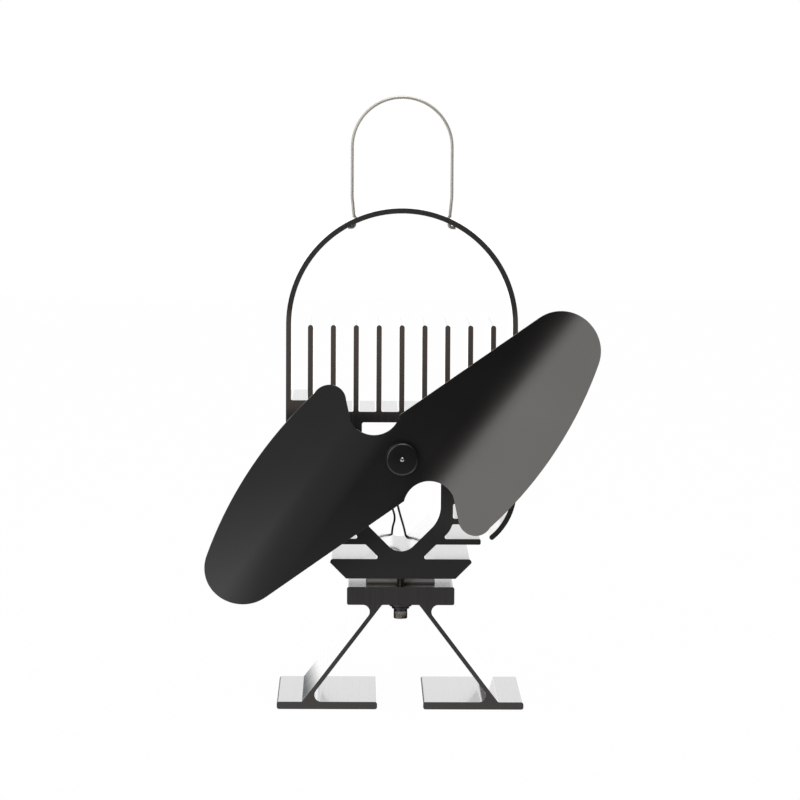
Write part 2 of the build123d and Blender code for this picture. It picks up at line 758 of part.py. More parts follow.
def motor_strap():
    """A hat-shaped strap: its crown holds the motor, its feet lie on the core's front."""
    crown = can_front - strap_thickness
    foot = core_outer_x
    inner = strap_half_width - strap_thickness
    section = make_face(Polyline(
        (-foot, 0), (-foot, -strap_thickness), (-strap_half_width, -strap_thickness),
        (-strap_half_width, crown), (strap_half_width, crown),
        (strap_half_width, -strap_thickness), (foot, -strap_thickness), (foot, 0),
        (inner, 0), (inner, can_front), (-inner, can_front), (-inner, 0), close=True))
    outside = [(side * strap_half_width, crown) for side in (-1, 1)]
    outside += [(side * inner, 0) for side in (-1, 1)]
    section = softened(section, outside, strap_bend_radius)
    inside = [(side * inner, can_front) for side in (-1, 1)]
    inside += [(side * strap_half_width, -strap_thickness) for side in (-1, 1)]
    section = softened(section, inside, strap_bend_radius - strap_thickness)
    part = extrude(Plane.XY.offset(hub_z - strap_height / 2) * section, strap_height)
    part -= lying(bush_radius + strap_boss_clearance, crown - cut_over, can_front + cut_over,
                  z=hub_z)
    for side in (-1, 1):
        part -= lying(motor_screw_radius + screw_clearance, crown - cut_over,
                      can_front + cut_over, side * motor_screw_x, hub_z)
        part -= lying(strap_screw_radius + screw_clearance, -strap_thickness - cut_over,
                      cut_over, side * (core_half_width + core_wall / 2), hub_z)
    return part


def pan_screw(radius, length, head_radius, head_height, x, head_back):
    """A screw along Y, head to the front, with a hexagon socket."""
    head = lying(head_radius, head_back - head_height, head_back, x, hub_z)
    head = chamfer(head.edges().group_by(Axis.Y)[0], head_height * screw_edge_share)
    shank = lying(radius, head_back, head_back + length, x, hub_z)
    socket = Pos(x, head_back - head_height, hub_z) * Rot(-90, 0, 0) * extrude(
        RegularPolygon(radius * screw_socket_share, 6, major_radius=False),
        head_height * screw_socket_depth_share)
    return head + shank - socket


def screw_pieces():
    """Two small screws in the motor's front and two larger ones in the core's walls."""
    crown = can_front - strap_thickness
    small = [pan_screw(motor_screw_radius, motor_screw_length, motor_screw_head_radius,
                       motor_screw_head_height, side * motor_screw_x, crown)
             for side in (-1, 1)]
    large = [pan_screw(strap_screw_radius, strap_screw_length, strap_screw_head_radius,
                       strap_screw_head_height, side * (core_half_width + core_wall / 2),
                       -strap_thickness)
             for side in (-1, 1)]
    return {"motor_screws": Compound(small), "strap_screws": Compound(large)}


def corner_radii(points):
    """The largest arc that both runs at each corner leave room for."""
    radii = []
    for before, here, after in zip(points, points[1:], points[2:]):
        one = Vector(*here) - Vector(*before)
        two = Vector(*after) - Vector(*here)
        turn = radians(one.get_angle(two))
        radii += [lead_run_share * min(one.length, two.length) / tan(turn / 2)]
    return radii


def lead(name, start_x, route, terminal_angle):
    """A lead from the module's rear edge, up behind the block and in to a motor terminal."""
    start_z = base_height + module_gap / 2
    climb_y = sink_depth + lead_behind
    end_x, end_z = terminal_place(terminal_angle)
    end_y = cap_back + terminal_length
    points = [(start_x, module_front + module_size - seal_inset, start_z),
              (start_x, climb_y, start_z)]
    points += [(x, climb_y - inwards, sink_block_top + rise) for x, inwards, rise in route]
    points += [(end_x, end_y + lead_approach, end_z), (end_x, end_y, end_z)]
    radii = corner_radii(points)
    path = FilletPolyline(*points, radius=radii)
    section = Plane(origin=path @ 0, z_dir=path % 0) * RegularPolygon(lead_radius, lead_sides)
    tube = sweep(section, path=path)
    print(name, "radii", [round(radius, 1) for radius in radii], "length",
          round(path.length, 1), "volume over section times length",
          round(tube.volume / (section.area * path.length), 4))
    return tube


nodes = {"base_extrusion": base_extrusion(), "upper_heat_sink": upper_heat_sink()}
nodes |= module_pieces()
nodes |= clamp_pieces()
nodes["handle_wire"] = handle_wire()
nodes["fan_blade"] = fan_blade()
nodes |= hub_pieces()
nodes |= motor_case()
nodes["motor_magnets"] = magnet_pieces()
nodes |= armature_pieces()
nodes["motor_brushes"] = brush_pieces()
nodes["motor_strap"] = motor_strap()
nodes |= screw_pieces()
nodes["lead_left"] = lead("lead_left", left_lead_x, left_route, terminal_angles[0])
nodes["lead_right"] = lead("lead_right", right_lead_x, right_route, terminal_angles[1])

# The origin is under the middle of the whole fan, so all pieces move along Y together
whole = Compound([shape for shape in nodes.values()]).bounding_box()
shift = -(whole.min.Y + whole.max.Y) / 2
print("front face at Y", round(shift, 4), "box", whole.min, whole.max)
for name, shape in nodes.items():
    export_step(Pos(0, shift, 0) * shape, f"parts/{name}.step")
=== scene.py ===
import math

import bmesh
import bpy
import numpy as np
from mathutils import Euler, Matrix, Vector


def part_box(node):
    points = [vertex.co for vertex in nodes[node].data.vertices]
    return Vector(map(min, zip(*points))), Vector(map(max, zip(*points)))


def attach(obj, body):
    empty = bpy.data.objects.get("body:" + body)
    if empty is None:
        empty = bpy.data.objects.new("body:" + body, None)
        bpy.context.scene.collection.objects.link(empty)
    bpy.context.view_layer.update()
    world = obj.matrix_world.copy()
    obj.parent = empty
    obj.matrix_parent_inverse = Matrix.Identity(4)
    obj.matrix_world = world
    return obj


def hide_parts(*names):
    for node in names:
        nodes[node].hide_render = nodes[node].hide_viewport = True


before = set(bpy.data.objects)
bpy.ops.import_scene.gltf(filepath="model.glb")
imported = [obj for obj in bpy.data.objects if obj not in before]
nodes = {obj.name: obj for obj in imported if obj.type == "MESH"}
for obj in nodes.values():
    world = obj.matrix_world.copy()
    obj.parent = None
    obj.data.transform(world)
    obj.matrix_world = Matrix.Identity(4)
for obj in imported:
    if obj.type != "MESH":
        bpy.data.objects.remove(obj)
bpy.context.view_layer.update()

mm = 0.001
print("stage: frame with", len(nodes), "nodes")


# An sRGB hex colour as the linear red, green, blue and alpha that Blender's sockets take.
def linear(hexColour):
    parts = [int(hexColour[start:start + 2], 16) / 255 for start in (1, 3, 5)]
    return [c / 12.92 if c <= 0.04045 else ((c + 0.055) / 1.055) ** 2.4 for c in parts] + [1.0]


# Adds one node. Settings are its properties. Inputs go by the names or numbers of its sockets, or
# in their order, and each is a value, a socket or a node, which gives its first output in use.
def addNode(tree, kind, settings=None, inputs=()):
    node = tree.nodes.new(kind)
    for key, value in (settings or {}).items():
        setattr(node, key, value)
    pairs = inputs.items() if isinstance(inputs, dict) else enumerate(inputs)
    for key, value in pairs:
        if isinstance(value, bpy.types.Node):
            value = next(socket for socket in value.outputs if socket.enabled)
        if isinstance(value, bpy.types.NodeSocket):
            tree.links.new(value, node.inputs[key])
        else:
            node.inputs[key].default_value = value
    return node


# Settings that several nodes share. A range runs softly from one value to another between two
# points. A mix of numbers takes them at sockets 2 and 3, and a mix of colours at 6 and 7.
softEnds = {"interpolation_type": "SMOOTHSTEP"}
multiply = {"operation": "MULTIPLY"}
maximum = {"operation": "MAXIMUM"}
numberMix = {"data_type": "FLOAT"}
colourMix = {"data_type": "RGBA"}
white = (1, 1, 1, 1)
noiseRoughness = 0.55
noiseSpan = (0.3, 0.7)    # nearly all of a noise lies between these


# Starts a material and gives it, its tree, its object's own coordinates and its noises. Each noise
# has a grain in mm along each axis, and a detail.
def startMaterial(name, grains=None):
    material = bpy.data.materials.new(name)
    material.use_nodes = True
    tree = material.node_tree
    tree.nodes.clear()
    place = addNode(tree, "ShaderNodeTexCoord")
    noises = {}
    for key, (grain, detail) in (grains or {}).items():
        sized = addNode(tree, "ShaderNodeMapping", inputs={
            "Vector": place.outputs["Object"], "Scale": [1 / (size * mm) for size in grain]})
        noises[key] = addNode(tree, "ShaderNodeTexNoise", inputs={
            "Vector": sized, "Scale": 1.0, "Detail": detail, "Roughness": noiseRoughness})
    return material, tree, place, noises


# The camera stands where the photograph was taken from, with a long lens and a slight roll.
cameraView = {
    "place": (-24.0, -1858.85, 337.0),                    # mm
    "pitchDown": 5.56, "turnRight": 0.721, "roll": 0.3,   # degrees
    "lens": 164.8, "sensor": 36.0,                        # mm
}


def placeCamera(view):
    data = bpy.data.cameras.new("photoCamera")
    data.lens = view["lens"]
    data.sensor_width = view["sensor"]
    camera = bpy.data.objects.new("photoCamera", data)
    camera.location = Vector(view["place"]) * mm
    aim = Euler((math.radians(90 - view["pitchDown"]), 0, -math.radians(view["turnRight"])))
    roll = Matrix.Rotation(math.radians(view["roll"]), 3, "Z")
    camera.rotation_euler = (aim.to_matrix() @ roll).to_euler()
    bpy.context.scene.collection.objects.link(camera)
    bpy.context.scene.camera = camera


placeCamera(cameraView)
bpy.context.scene.view_settings.view_transform = "Standard"

# The studio: levels of light, where 1 is white. Gloss sees a dark room on the camera's side and a
# bright one behind the fan. Directions are sines of the angle upwards or to the back.
studio = {
    "fill": 0.5,                              # plain light on matt surfaces
    "horizon": 1.28, "middle": 1.0, "higher": 1.24,            # behind the fan, from low to high
    "middleFrom": (0.05, 0.09), "higherFrom": (0.13, 0.17),
    "ahead": 0.025, "turn": (-0.25, 0.3),     # the dark side, and where it changes to the bright one
    "overhead": 0.8, "overheadFrom": (0.45, 0.95),             # a pale ceiling
}

# The floor: plain white to the camera but for a small share, which holds the shadow.
studioFloor = {
    "front": -0.8, "back": 3.0, "halfWidth": 2.5,    # m
    "colour": "#f4f4f4", "whiteShare": 0.985,
    "gloss": (0.28, 1.28),          # what gloss sees of it, in front of the fan and behind
    "turn": (-0.27, -0.05),         # m, where it changes from the one to the other
}

softboxes = {
    # lights the right wing of the blade from the front left, a little warm
    "frontSoftbox": {"towards": (-0.54, -0.79, 0.29), "aim": (0, 0, 0.13), "distance": 1.7,
                     "width": 1.1, "height": 1.3, "level": 2.3, "colour": "#fffaf5"},
    # draws the thin light lines on rims that face upwards
    "topSoftbox": {"towards": (0.05, -0.32, 0.95), "aim": (0, 0, 0.13), "distance": 1.1,
                   "width": 0.55, "height": 0.34, "level": 5.5, "colour": "#ffffff"},
}


# The world is white to the camera, plain to matt surfaces, and a dark-fronted studio to gloss.
def lightStudio(look):
    world = bpy.data.worlds.new("studioWorld")
    bpy.context.scene.world = world
    world.use_nodes = True
    world.cycles.sampling_method = "NONE"    # it is smooth enough not to be sampled as a lamp
    tree = world.node_tree
    tree.nodes.clear()
    ray = addNode(tree, "ShaderNodeLightPath")
    way = addNode(tree, "ShaderNodeTexCoord")
    parts = addNode(tree, "ShaderNodeSeparateXYZ", inputs=[way.outputs["Generated"]])
    up = parts.outputs["Z"]
    lower = addNode(tree, "ShaderNodeMapRange", softEnds, (
        up, *look["middleFrom"], look["horizon"], look["middle"]))
    rise = addNode(tree, "ShaderNodeMapRange", softEnds, (
        up, *look["higherFrom"], 0.0, look["higher"] - look["middle"]))
    behind = addNode(tree, "ShaderNodeMath", {"operation": "ADD"}, (lower, rise))
    around = addNode(tree, "ShaderNodeMapRange", softEnds, (
        parts.outputs["Y"], *look["turn"], look["ahead"], behind))
    top = addNode(tree, "ShaderNodeMapRange", softEnds, (
        up, *look["overheadFrom"], 0.0, look["overhead"]))
    room = addNode(tree, "ShaderNodeMath", maximum, (around, top))
    plain, gloss, clear = (addNode(tree, "ShaderNodeBackground", inputs=(white, strength))
                           for strength in (look["fill"], room, 1.0))
    unseen = addNode(tree, "ShaderNodeMixShader", inputs=(
        ray.outputs["Is Glossy Ray"], plain, gloss))
    shown = addNode(tree, "ShaderNodeMixShader", inputs=(
        ray.outputs["Is Camera Ray"], unseen, clear))
    addNode(tree, "ShaderNodeOutputWorld", inputs=[shown])


# A softbox: its level is the brightness of its face, where 1 is white.
def hangSoftbox(name, look):
    lamp = bpy.data.lights.new(name, "AREA")
    lamp.shape = "RECTANGLE"
    lamp.size = look["width"]
    lamp.size_y = look["height"]
    lamp.color = linear(look["colour"])[:3]
    lamp.energy = look["level"] * math.pi * look["width"] * look["height"]
    box = bpy.data.objects.new(name, lamp)
    towards = Vector(look["towards"]).normalized()
    box.location = Vector(look["aim"]) + towards * look["distance"]
    box.rotation_euler = towards.to_track_quat("Z", "Y").to_euler()
    box.visible_camera = False
    bpy.context.scene.collection.objects.link(box)


def layFloor(look):
    x, front, back = look["halfWidth"], look["front"], look["back"]
    corners = [(-x, front, 0), (x, front, 0), (x, back, 0), (-x, back, 0)]
    mesh = bpy.data.meshes.new("studioFloor")
    mesh.from_pydata(corners, [], [(0, 1, 2, 3)])
    floor = bpy.data.objects.new("studioFloor", mesh)
    bpy.context.scene.collection.objects.link(floor)
    material, tree, place, _ = startMaterial("paleFloor")
    ray = addNode(tree, "ShaderNodeLightPath")
    glossy = ray.outputs["Is Glossy Ray"]
    seen = addNode(tree, "ShaderNodeMath", maximum, (ray.outputs["Is Camera Ray"], glossy))
    share = addNode(tree, "ShaderNodeMath", multiply, (seen, look["whiteShare"]))
    spot = addNode(tree, "ShaderNodeSeparateXYZ", inputs=[place.outputs["Object"]])
    mirrored = addNode(tree, "ShaderNodeMapRange", softEnds, (
        spot.outputs["Y"], *look["turn"], *look["gloss"]))
    level = addNode(tree, "ShaderNodeMix", numberMix, {0: glossy, 2: 1.0, 3: mirrored})
    matt = addNode(tree, "ShaderNodeBsdfDiffuse", inputs=[linear(look["colour"])])
    glow = addNode(tree, "ShaderNodeEmission", inputs=(white, level))
    mixed = addNode(tree, "ShaderNodeMixShader", inputs=(share, matt, glow))
    addNode(tree, "ShaderNodeOutputMaterial", inputs=[mixed])
    mesh.materials.append(material)


lightStudio(studio)
for name, look in softboxes.items():
    hangSoftbox(name, look)
layFloor(studioFloor)
print("stage: studio with", len(softboxes), "softboxes")

# Black dyed anodised aluminium, extruded and then sawn across. The drawn skin is a thin clear
# film on dark metal: near black from the front and a soft mirror at a low angle, with faint lines
# along its length. The two cut ends are matt with upright saw marks and a touch lighter.
extrusionLook = {
    "shader": {"Coat Roughness": 0.075, "Coat IOR": 1.6},
    "dark": "#171717", "light": "#1f1e1e",
    "cutDark": "#202020", "cutLight": "#2a2827",
    "skinRoughness": (0.17, 0.22), "cutRoughness": (0.42, 0.56),
    "grains": {    # mm along each axis, and detail
        "drawLines": ((0.5, 120.0, 0.5), 2.0),
        "sawMarks": ((0.7, 6.0, 40.0), 4.0),    # coarser than a real saw's, so that they show
        "mottle": ((14.0, 30.0, 14.0), 3.0),
        "streaks": ((20.0, 1.4, 20.0), 3.0),
    },
    "lineDepth": 0.009, "sawDepth": 0.012,      # mm
    "cutFrom": (0.6, 0.9),    # how far a face looks along the length where it counts as cut
    # painted light and shade on the cut ends: tones by height, with the heights in mm where each
    # comes in and goes out
    "paintedLightZones": (("#33312f", (-2.0, -1.0), (6.0, 45.0)),        # feet and legs: painted light, paler
                 ("#131313", (62.0, 66.0), (86.0, 100.0)),      # block above the module: painted shade, darker
                 ("#4a413c", (149.0, 156.0), (198.0, 206.0))),  # fins: browner, and paler as painted light
    "paintedLightShare": (0.75, 1.0),
    # the outer face of the left leg has a painted dark reflection just above its foot: a rough grey
    # patch without the metal and coat, lower towards the back
    "paintedReflectionTone": "#2f343a", "paintedReflectionRoughness": 0.75, "paintedReflectionShare": (0.75, 1.0),
    "paintedReflectionHeight": (5.5, 17.5), "paintedReflectionLean": 0.06,          # mm, and mm per mm of depth
    "paintedReflectionLeft": (-0.6, -0.35), "paintedReflectionUp": (0.1, 0.3),      # how far such a face looks left and up
}


def extrusionMaterial(look):
    material, tree, place, noises = startMaterial("blackAnodisedExtrusion", look["grains"])
    lines, marks = noises["drawLines"], noises["sawMarks"]
    normal = addNode(tree, "ShaderNodeSeparateXYZ", inputs=[place.outputs["Normal"]])
    along = addNode(tree, "ShaderNodeMath", {"operation": "ABSOLUTE"}, [normal.outputs["Y"]])
    cut, drawn = (addNode(tree, "ShaderNodeMapRange", softEnds, (along, *look["cutFrom"], *ends))
                  for ends in ((0.0, 1.0), (1.0, 0.0)))

    # the painted dark reflection lies where a face looks to the left and upwards and is close to the
    # floor
    spot = addNode(tree, "ShaderNodeSeparateXYZ", inputs=[place.outputs["Object"]])
    height = spot.outputs["Z"]
    leaning = addNode(tree, "ShaderNodeMath", {"operation": "MULTIPLY_ADD"}, (
        spot.outputs["Y"], look["paintedReflectionLean"], height))
    paintedReflection = addNode(tree, "ShaderNodeMapRange", inputs=(
        noises["streaks"], *noiseSpan, *look["paintedReflectionShare"]))
    for value, limits, ends in (
            (normal.outputs["X"], look["paintedReflectionLeft"], (1.0, 0.0)),
            (normal.outputs["Z"], look["paintedReflectionUp"], (0.0, 1.0)),
            (leaning, [limit * mm for limit in look["paintedReflectionHeight"]], (1.0, 0.0))):
        inside = addNode(tree, "ShaderNodeMapRange", softEnds, (value, *limits, *ends))
        paintedReflection = addNode(tree, "ShaderNodeMath", multiply, (paintedReflection, inside))
    outsidePaintedReflection = addNode(tree, "ShaderNodeMath", {"operation": "SUBTRACT"}, (1.0, paintedReflection))
    skin = addNode(tree, "ShaderNodeMath", multiply, (drawn, outsidePaintedReflection))

    # skin and cut ends start from one colour each, and the others are mixed over it in turn
    marked = addNode(tree, "ShaderNodeMapRange", inputs=(marks, *noiseSpan, 0.0, 1.0))
    # over the skin's mottle goes the grey of the painted dark reflection
    skinLayers = [(noises["mottle"], look["light"]), (paintedReflection, look["paintedReflectionTone"])]
    cutLayers = [(marked, look["cutLight"])]
    # painted light and shade on the cut ends: each height zone's tone is mixed over the saw marks
    for colour, comes, goes in look["paintedLightZones"]:
        paintedLightZone = addNode(tree, "ShaderNodeMapRange", inputs=(marks, *noiseSpan, *look["paintedLightShare"]))
        for (low, high), ends in ((comes, (0.0, 1.0)), (goes, (1.0, 0.0))):
            inside = addNode(tree, "ShaderNodeMapRange", softEnds, (
                height, low * mm, high * mm, *ends))
            paintedLightZone = addNode(tree, "ShaderNodeMath", multiply, (paintedLightZone, inside))
        cutLayers.append((paintedLightZone, colour))
    tones = []
    for base, layers in ((look["dark"], skinLayers), (look["cutDark"], cutLayers)):
        tone = linear(base)
        for factor, colour in layers:
            tone = addNode(tree, "ShaderNodeMix", colourMix, {
                0: factor, 6: tone, 7: linear(colour)})
        tones.append(tone)
    tone = addNode(tree, "ShaderNodeMix", colourMix, {0: cut, 6: tones[0], 7: tones[1]})

    skinRough = addNode(tree, "ShaderNodeMapRange", inputs=(
        lines, *noiseSpan, *look["skinRoughness"]))
    cutRough = addNode(tree, "ShaderNodeMapRange", inputs=(
        marks, *noiseSpan, *look["cutRoughness"]))
    rough = addNode(tree, "ShaderNodeMix", numberMix, {
        0: paintedReflection, 2: skinRough, 3: look["paintedReflectionRoughness"]})
    rough = addNode(tree, "ShaderNodeMix", numberMix, {0: cut, 2: rough, 3: cutRough})
    lineBump = addNode(tree, "ShaderNodeBump", inputs={
        "Height": lines, "Strength": drawn, "Distance": look["lineDepth"] * mm})
    sawBump = addNode(tree, "ShaderNodeBump", inputs={
        "Height": marks, "Strength": cut, "Distance": look["sawDepth"] * mm, "Normal": lineBump})
    shader = addNode(tree, "ShaderNodeBsdfPrincipled", inputs={
        **look["shader"], "Base Color": tone, "Metallic": skin, "Coat Weight": skin,
        "Roughness": rough, "Normal": sawBump})
    addNode(tree, "ShaderNodeOutputMaterial", inputs=[shader])
    return material


# The plain finishes. Grain and mottle are in mm along each axis, and depth is in mm.
plainDefaults = {"mottle": (6.0, 6.0, 6.0), "detail": 3.0, "strength": 0.3, "depth": 0.02}
plainLooks = {
    # satin black anodised sheet: an even, soft sheen with a fine etched grain
    "black_sheet": {"shader": {"IOR": 1.72}, "dark": "#0f0f0f", "light": "#121211",
                    "roughness": (0.215, 0.255), "grain": (0.35, 0.35, 0.35),
                    "strength": 0.1, "depth": 0.006, "mottle": (40.0, 40.0, 40.0)},
    # nylon from a polished mould: deep black and smooth, with a soft gleam at its rim
    "black_nylon": {"shader": {"IOR": 1.53}, "dark": "#121212", "light": "#161616",
                    "roughness": (0.22, 0.27), "grain": (0.5, 0.5, 0.5), "strength": 0.08,
                    "depth": 0.006},
    # drawn stainless wire, dulled by pickling: pale grey with a soft, even shine
    "stainless_wire": {"shader": {"Metallic": 0.7}, "dark": "#c8c5bf", "light": "#d3d0c9",
                       "roughness": (0.42, 0.48), "grain": (0.8, 0.8, 12.0), "strength": 0.02,
                       "depth": 0.001, "mottle": (25.0, 25.0, 25.0)},
    # pressed graphite foil: dark grey with a soft metallic shine
    "graphite_foil": {"shader": {"Metallic": 0.6}, "dark": "#2c2c2e", "light": "#3c3c3f",
                      "roughness": (0.4, 0.55), "grain": (0.4, 0.4, 0.1), "strength": 0.4},
    # fired alumina: off-white and chalky, with a very fine grain
    "alumina": {"shader": {"IOR": 1.77}, "dark": "#dedcd6", "light": "#f0efea",
                "roughness": (0.45, 0.6), "grain": (0.08, 0.08, 0.08)},
    # cut bismuth telluride: a grey, scaly metallic break
    "bismuth_telluride": {"shader": {"Metallic": 1.0}, "dark": "#77767a", "light": "#96959a",
                          "roughness": (0.3, 0.5), "grain": (0.1, 0.1, 0.3), "strength": 0.5},
    # silicone pressed in by hand: pale, soft and uneven
    "silicone_seal": {"shader": {"IOR": 1.41}, "dark": "#c2c1bf", "light": "#d4d3d0",
                      "roughness": (0.5, 0.65), "grain": (1.2, 1.2, 0.8), "strength": 0.5,
                      "depth": 0.08},
    # mica board darkened by heat: brown-black, in thin leaves
    "mica_board": {"shader": {"IOR": 1.56}, "dark": "#1c1a18", "light": "#292623",
                   "roughness": (0.35, 0.55), "grain": (0.8, 0.8, 0.05), "strength": 0.4},
    # blackened spring steel: dark with a dull gleam
    "spring_steel": {"shader": {"Metallic": 1.0}, "dark": "#3c3b3b", "light": "#4d4c4b",
                     "roughness": (0.28, 0.4), "grain": (0.1, 0.1, 0.4)},
    # black oxide on a rolled cap screw: a brown-grey gleam where the knurl catches light
    "black_oxide_steel": {"shader": {"Metallic": 1.0}, "dark": "#6b6661", "light": "#87817a",
                          "roughness": (0.3, 0.42), "grain": (0.15, 0.15, 0.15)},
    # zinc-plated drawn steel: bluish white metal with faint drawing lines
    "zinc_plated_steel": {"shader": {"Metallic": 1.0}, "dark": "#9fa2a6", "light": "#bcbfc2",
                          "roughness": (0.26, 0.4), "grain": (0.3, 2.5, 0.3), "strength": 0.25},
    # oil-filled sintered bronze: brown and finely porous
    "sintered_bronze": {"shader": {"Metallic": 1.0}, "dark": "#8c6237", "light": "#b58450",
                        "roughness": (0.42, 0.6), "grain": (0.12, 0.12, 0.12), "strength": 0.6,
                        "depth": 0.04},
    # moulded black nylon of the motor's end cap
    "motor_plastic": {"shader": {"IOR": 1.53}, "dark": "#1d1d1e", "light": "#262626",
                      "roughness": (0.38, 0.5), "grain": (0.2, 0.2, 0.2), "strength": 0.25},
    # tinned brass: pale and slightly dull
    "tinned_brass": {"shader": {"Metallic": 1.0}, "dark": "#b3b0a4", "light": "#cbc9bf",
                     "roughness": (0.25, 0.4), "grain": (0.3, 0.3, 0.3)},
    # pressed ferrite: charcoal, dry and fine grained
    "ferrite": {"shader": {"IOR": 2.0}, "dark": "#2b2b2e", "light": "#39393c",
                "roughness": (0.5, 0.65), "grain": (0.1, 0.1, 0.1), "strength": 0.4},
    # ground steel shaft: bright, with marks round it
    "ground_steel": {"shader": {"Metallic": 1.0}, "dark": "#b9babd", "light": "#d2d3d5",
                     "roughness": (0.14, 0.22), "grain": (0.06, 0.4, 0.06), "strength": 0.2},
    # stacked laminations: thin lines across the stack
    "electrical_steel": {"shader": {"Metallic": 1.0}, "dark": "#6b6d71", "light": "#85878b",
                         "roughness": (0.3, 0.45), "grain": (3.0, 0.5, 3.0), "strength": 0.5,
                         "depth": 0.05},
    # enamelled copper wire wound in layers: clear red-brown lacquer
    "enamelled_copper": {"shader": {"Metallic": 0.9}, "dark": "#8f3d1c", "light": "#b8592b",
                         "roughness": (0.2, 0.34), "grain": (2.0, 0.25, 0.25), "strength": 0.8,
                         "depth": 0.08},
    # turned copper segments: orange metal with marks round them
    "commutator_copper": {"shader": {"Metallic": 1.0}, "dark": "#b0683c", "light": "#d08a58",
                          "roughness": (0.2, 0.34), "grain": (0.3, 0.08, 0.3), "strength": 0.4},
    # black painted strip: an even satin coat over rolled steel
    "black_steel": {"shader": {"IOR": 1.5, "Coat Weight": 0.4, "Coat Roughness": 0.3},
                    "dark": "#1b1b1c", "light": "#242424", "roughness": (0.4, 0.5),
                    "grain": (0.5, 0.5, 0.5)},
    # silicone lead insulation: black, soft and slightly dusty
    "lead_insulation": {"shader": {"IOR": 1.43}, "dark": "#343434", "light": "#3e3e3e",
                        "roughness": (0.45, 0.6), "grain": (0.6, 0.6, 2.0), "strength": 0.25},
    # alumina on the hot side, painted dark: painted shade deep in the gap
    "paintedShadeAlumina": {"shader": {"IOR": 1.77}, "dark": "#716e6a", "light": "#85827d",
                      "roughness": (0.5, 0.65), "grain": (0.3, 0.3, 0.1)},
    # alumina on the cold side, painted a little grey: painted shade in the gap, still pale
    "paintedPaleShadeAlumina": {"shader": {"IOR": 1.77}, "dark": "#c4c3bf", "light": "#d6d4cf",
                      "roughness": (0.45, 0.6), "grain": (0.3, 0.3, 0.1)},
}


# A plain finish: two tones in a mottle, roughness between two values and a bump of its grain.
def plainMaterial(name, look):
    look = {**plainDefaults, **look}
    grains = {key: (look[key], look["detail"]) for key in ("grain", "mottle")}
    material, tree, _, noises = startMaterial(name, grains)
    tone = addNode(tree, "ShaderNodeMix", colourMix, {
        0: noises["mottle"], 6: linear(look["dark"]), 7: linear(look["light"])})
    rough = addNode(tree, "ShaderNodeMapRange", inputs=(
        noises["mottle"], *noiseSpan, *look["roughness"]))
    bump = addNode(tree, "ShaderNodeBump", inputs={
        "Height": noises["grain"], "Strength": look["strength"], "Distance": look["depth"] * mm})
    shader = addNode(tree, "ShaderNodeBsdfPrincipled", inputs={
        **look["shader"], "Base Color": tone, "Roughness": rough, "Normal": bump})
    addNode(tree, "ShaderNodeOutputMaterial", inputs=[shader])
    return material


finishes = {slot: plainMaterial(slot + "Finish", look) for slot, look in plainLooks.items()}
finishes["black_anodised"] = extrusionMaterial(extrusionLook)
# the module's plates take copies of alumina painted darker: painted shade in the gap
nodeFinishes = {"module_hot_plate": "paintedShadeAlumina", "module_cold_plate": "paintedPaleShadeAlumina"}

for nodeName, node in nodes.items():
    slotName = node.data.materials[0].name.split(".")[0]
    node.data.materials[0] = finishes[nodeFinishes.get(nodeName, slotName)]
print("stage:", len(finishes), "finishes, put on the CAD nodes")

# New pieces are worked out in mm as the solids are, with Y from the extrusions' front faces.
frontFaceY = -20.8494
shaftZ = 131.0
boltYs = (5.5, 51.5)


# Finishes a new piece: its finish, the body that it rides on and the CAD nodes that it replaces.
def addPiece(piece, body, slotName, replaced=()):
    bpy.context.scene.collection.objects.link(piece)
    piece.data.materials.clear()
    piece.data.materials.append(finishes[slotName])
    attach(piece, body)
    if replaced:
        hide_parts(*replaced)


# Turns grids of points, in mm, into one mesh: rows run along a shape and columns round it. Each
# grid is closed round; its end rows get a cap each, or it closes along as well, as a ring does.
def surfaceMesh(name, grids, ring=False, sharpAngle=35.0):
    points, faces, start = [], [], 0
    for grid in grids:
        rows, columns = grid.shape[:2]
        index = np.arange(rows * columns).reshape(rows, columns)
        if ring:
            index = np.concatenate([index, index[:1]])
        after = np.roll(index, -1, axis=1)
        quads = np.stack([index[:-1], after[:-1], after[1:], index[1:]], axis=-1)
        faces += (quads.reshape(-1, 4) + start).tolist()
        if not ring:
            faces += [(index[0][::-1] + start).tolist(), (index[-1] + start).tolist()]
        points.append((grid.reshape(-1, 3) + np.array((0.0, frontFaceY, 0.0))) * mm)
        start += rows * columns
    mesh = bpy.data.meshes.new(name)
    mesh.from_pydata(np.concatenate(points).tolist(), [], faces)
    work = bmesh.new()
    work.from_mesh(mesh)
    bmesh.ops.recalc_face_normals(work, faces=work.faces)
    work.to_mesh(mesh)
    work.free()
    mesh.shade_smooth()
    mesh.set_sharp_from_angle(angle=math.radians(sharpAngle))
    return bpy.data.objects.new(name, mesh)


# A turned shape: the point at angle a is centre + r (cos a, sin a) across the axis + h along it.
# The radius r is one number a row, or changes round each row.
def turned(centre, axis, radii, heights, columns):
    angles = np.linspace(0, 2 * np.pi, columns, endpoint=False)
    radii = np.asarray(radii, dtype=float)
    if radii.ndim == 1:
        radii = radii[:, None] * np.ones(columns)
    across = [spot for spot in range(3) if spot != axis]
    grid = np.empty((len(radii), columns, 3))
    grid[..., across[0]] = centre[across[0]] + radii * np.cos(angles)
    grid[..., across[1]] = centre[across[1]] + radii * np.sin(angles)
    grid[..., axis] = centre[axis] + np.asarray(heights, dtype=float)[:, None]
    return grid


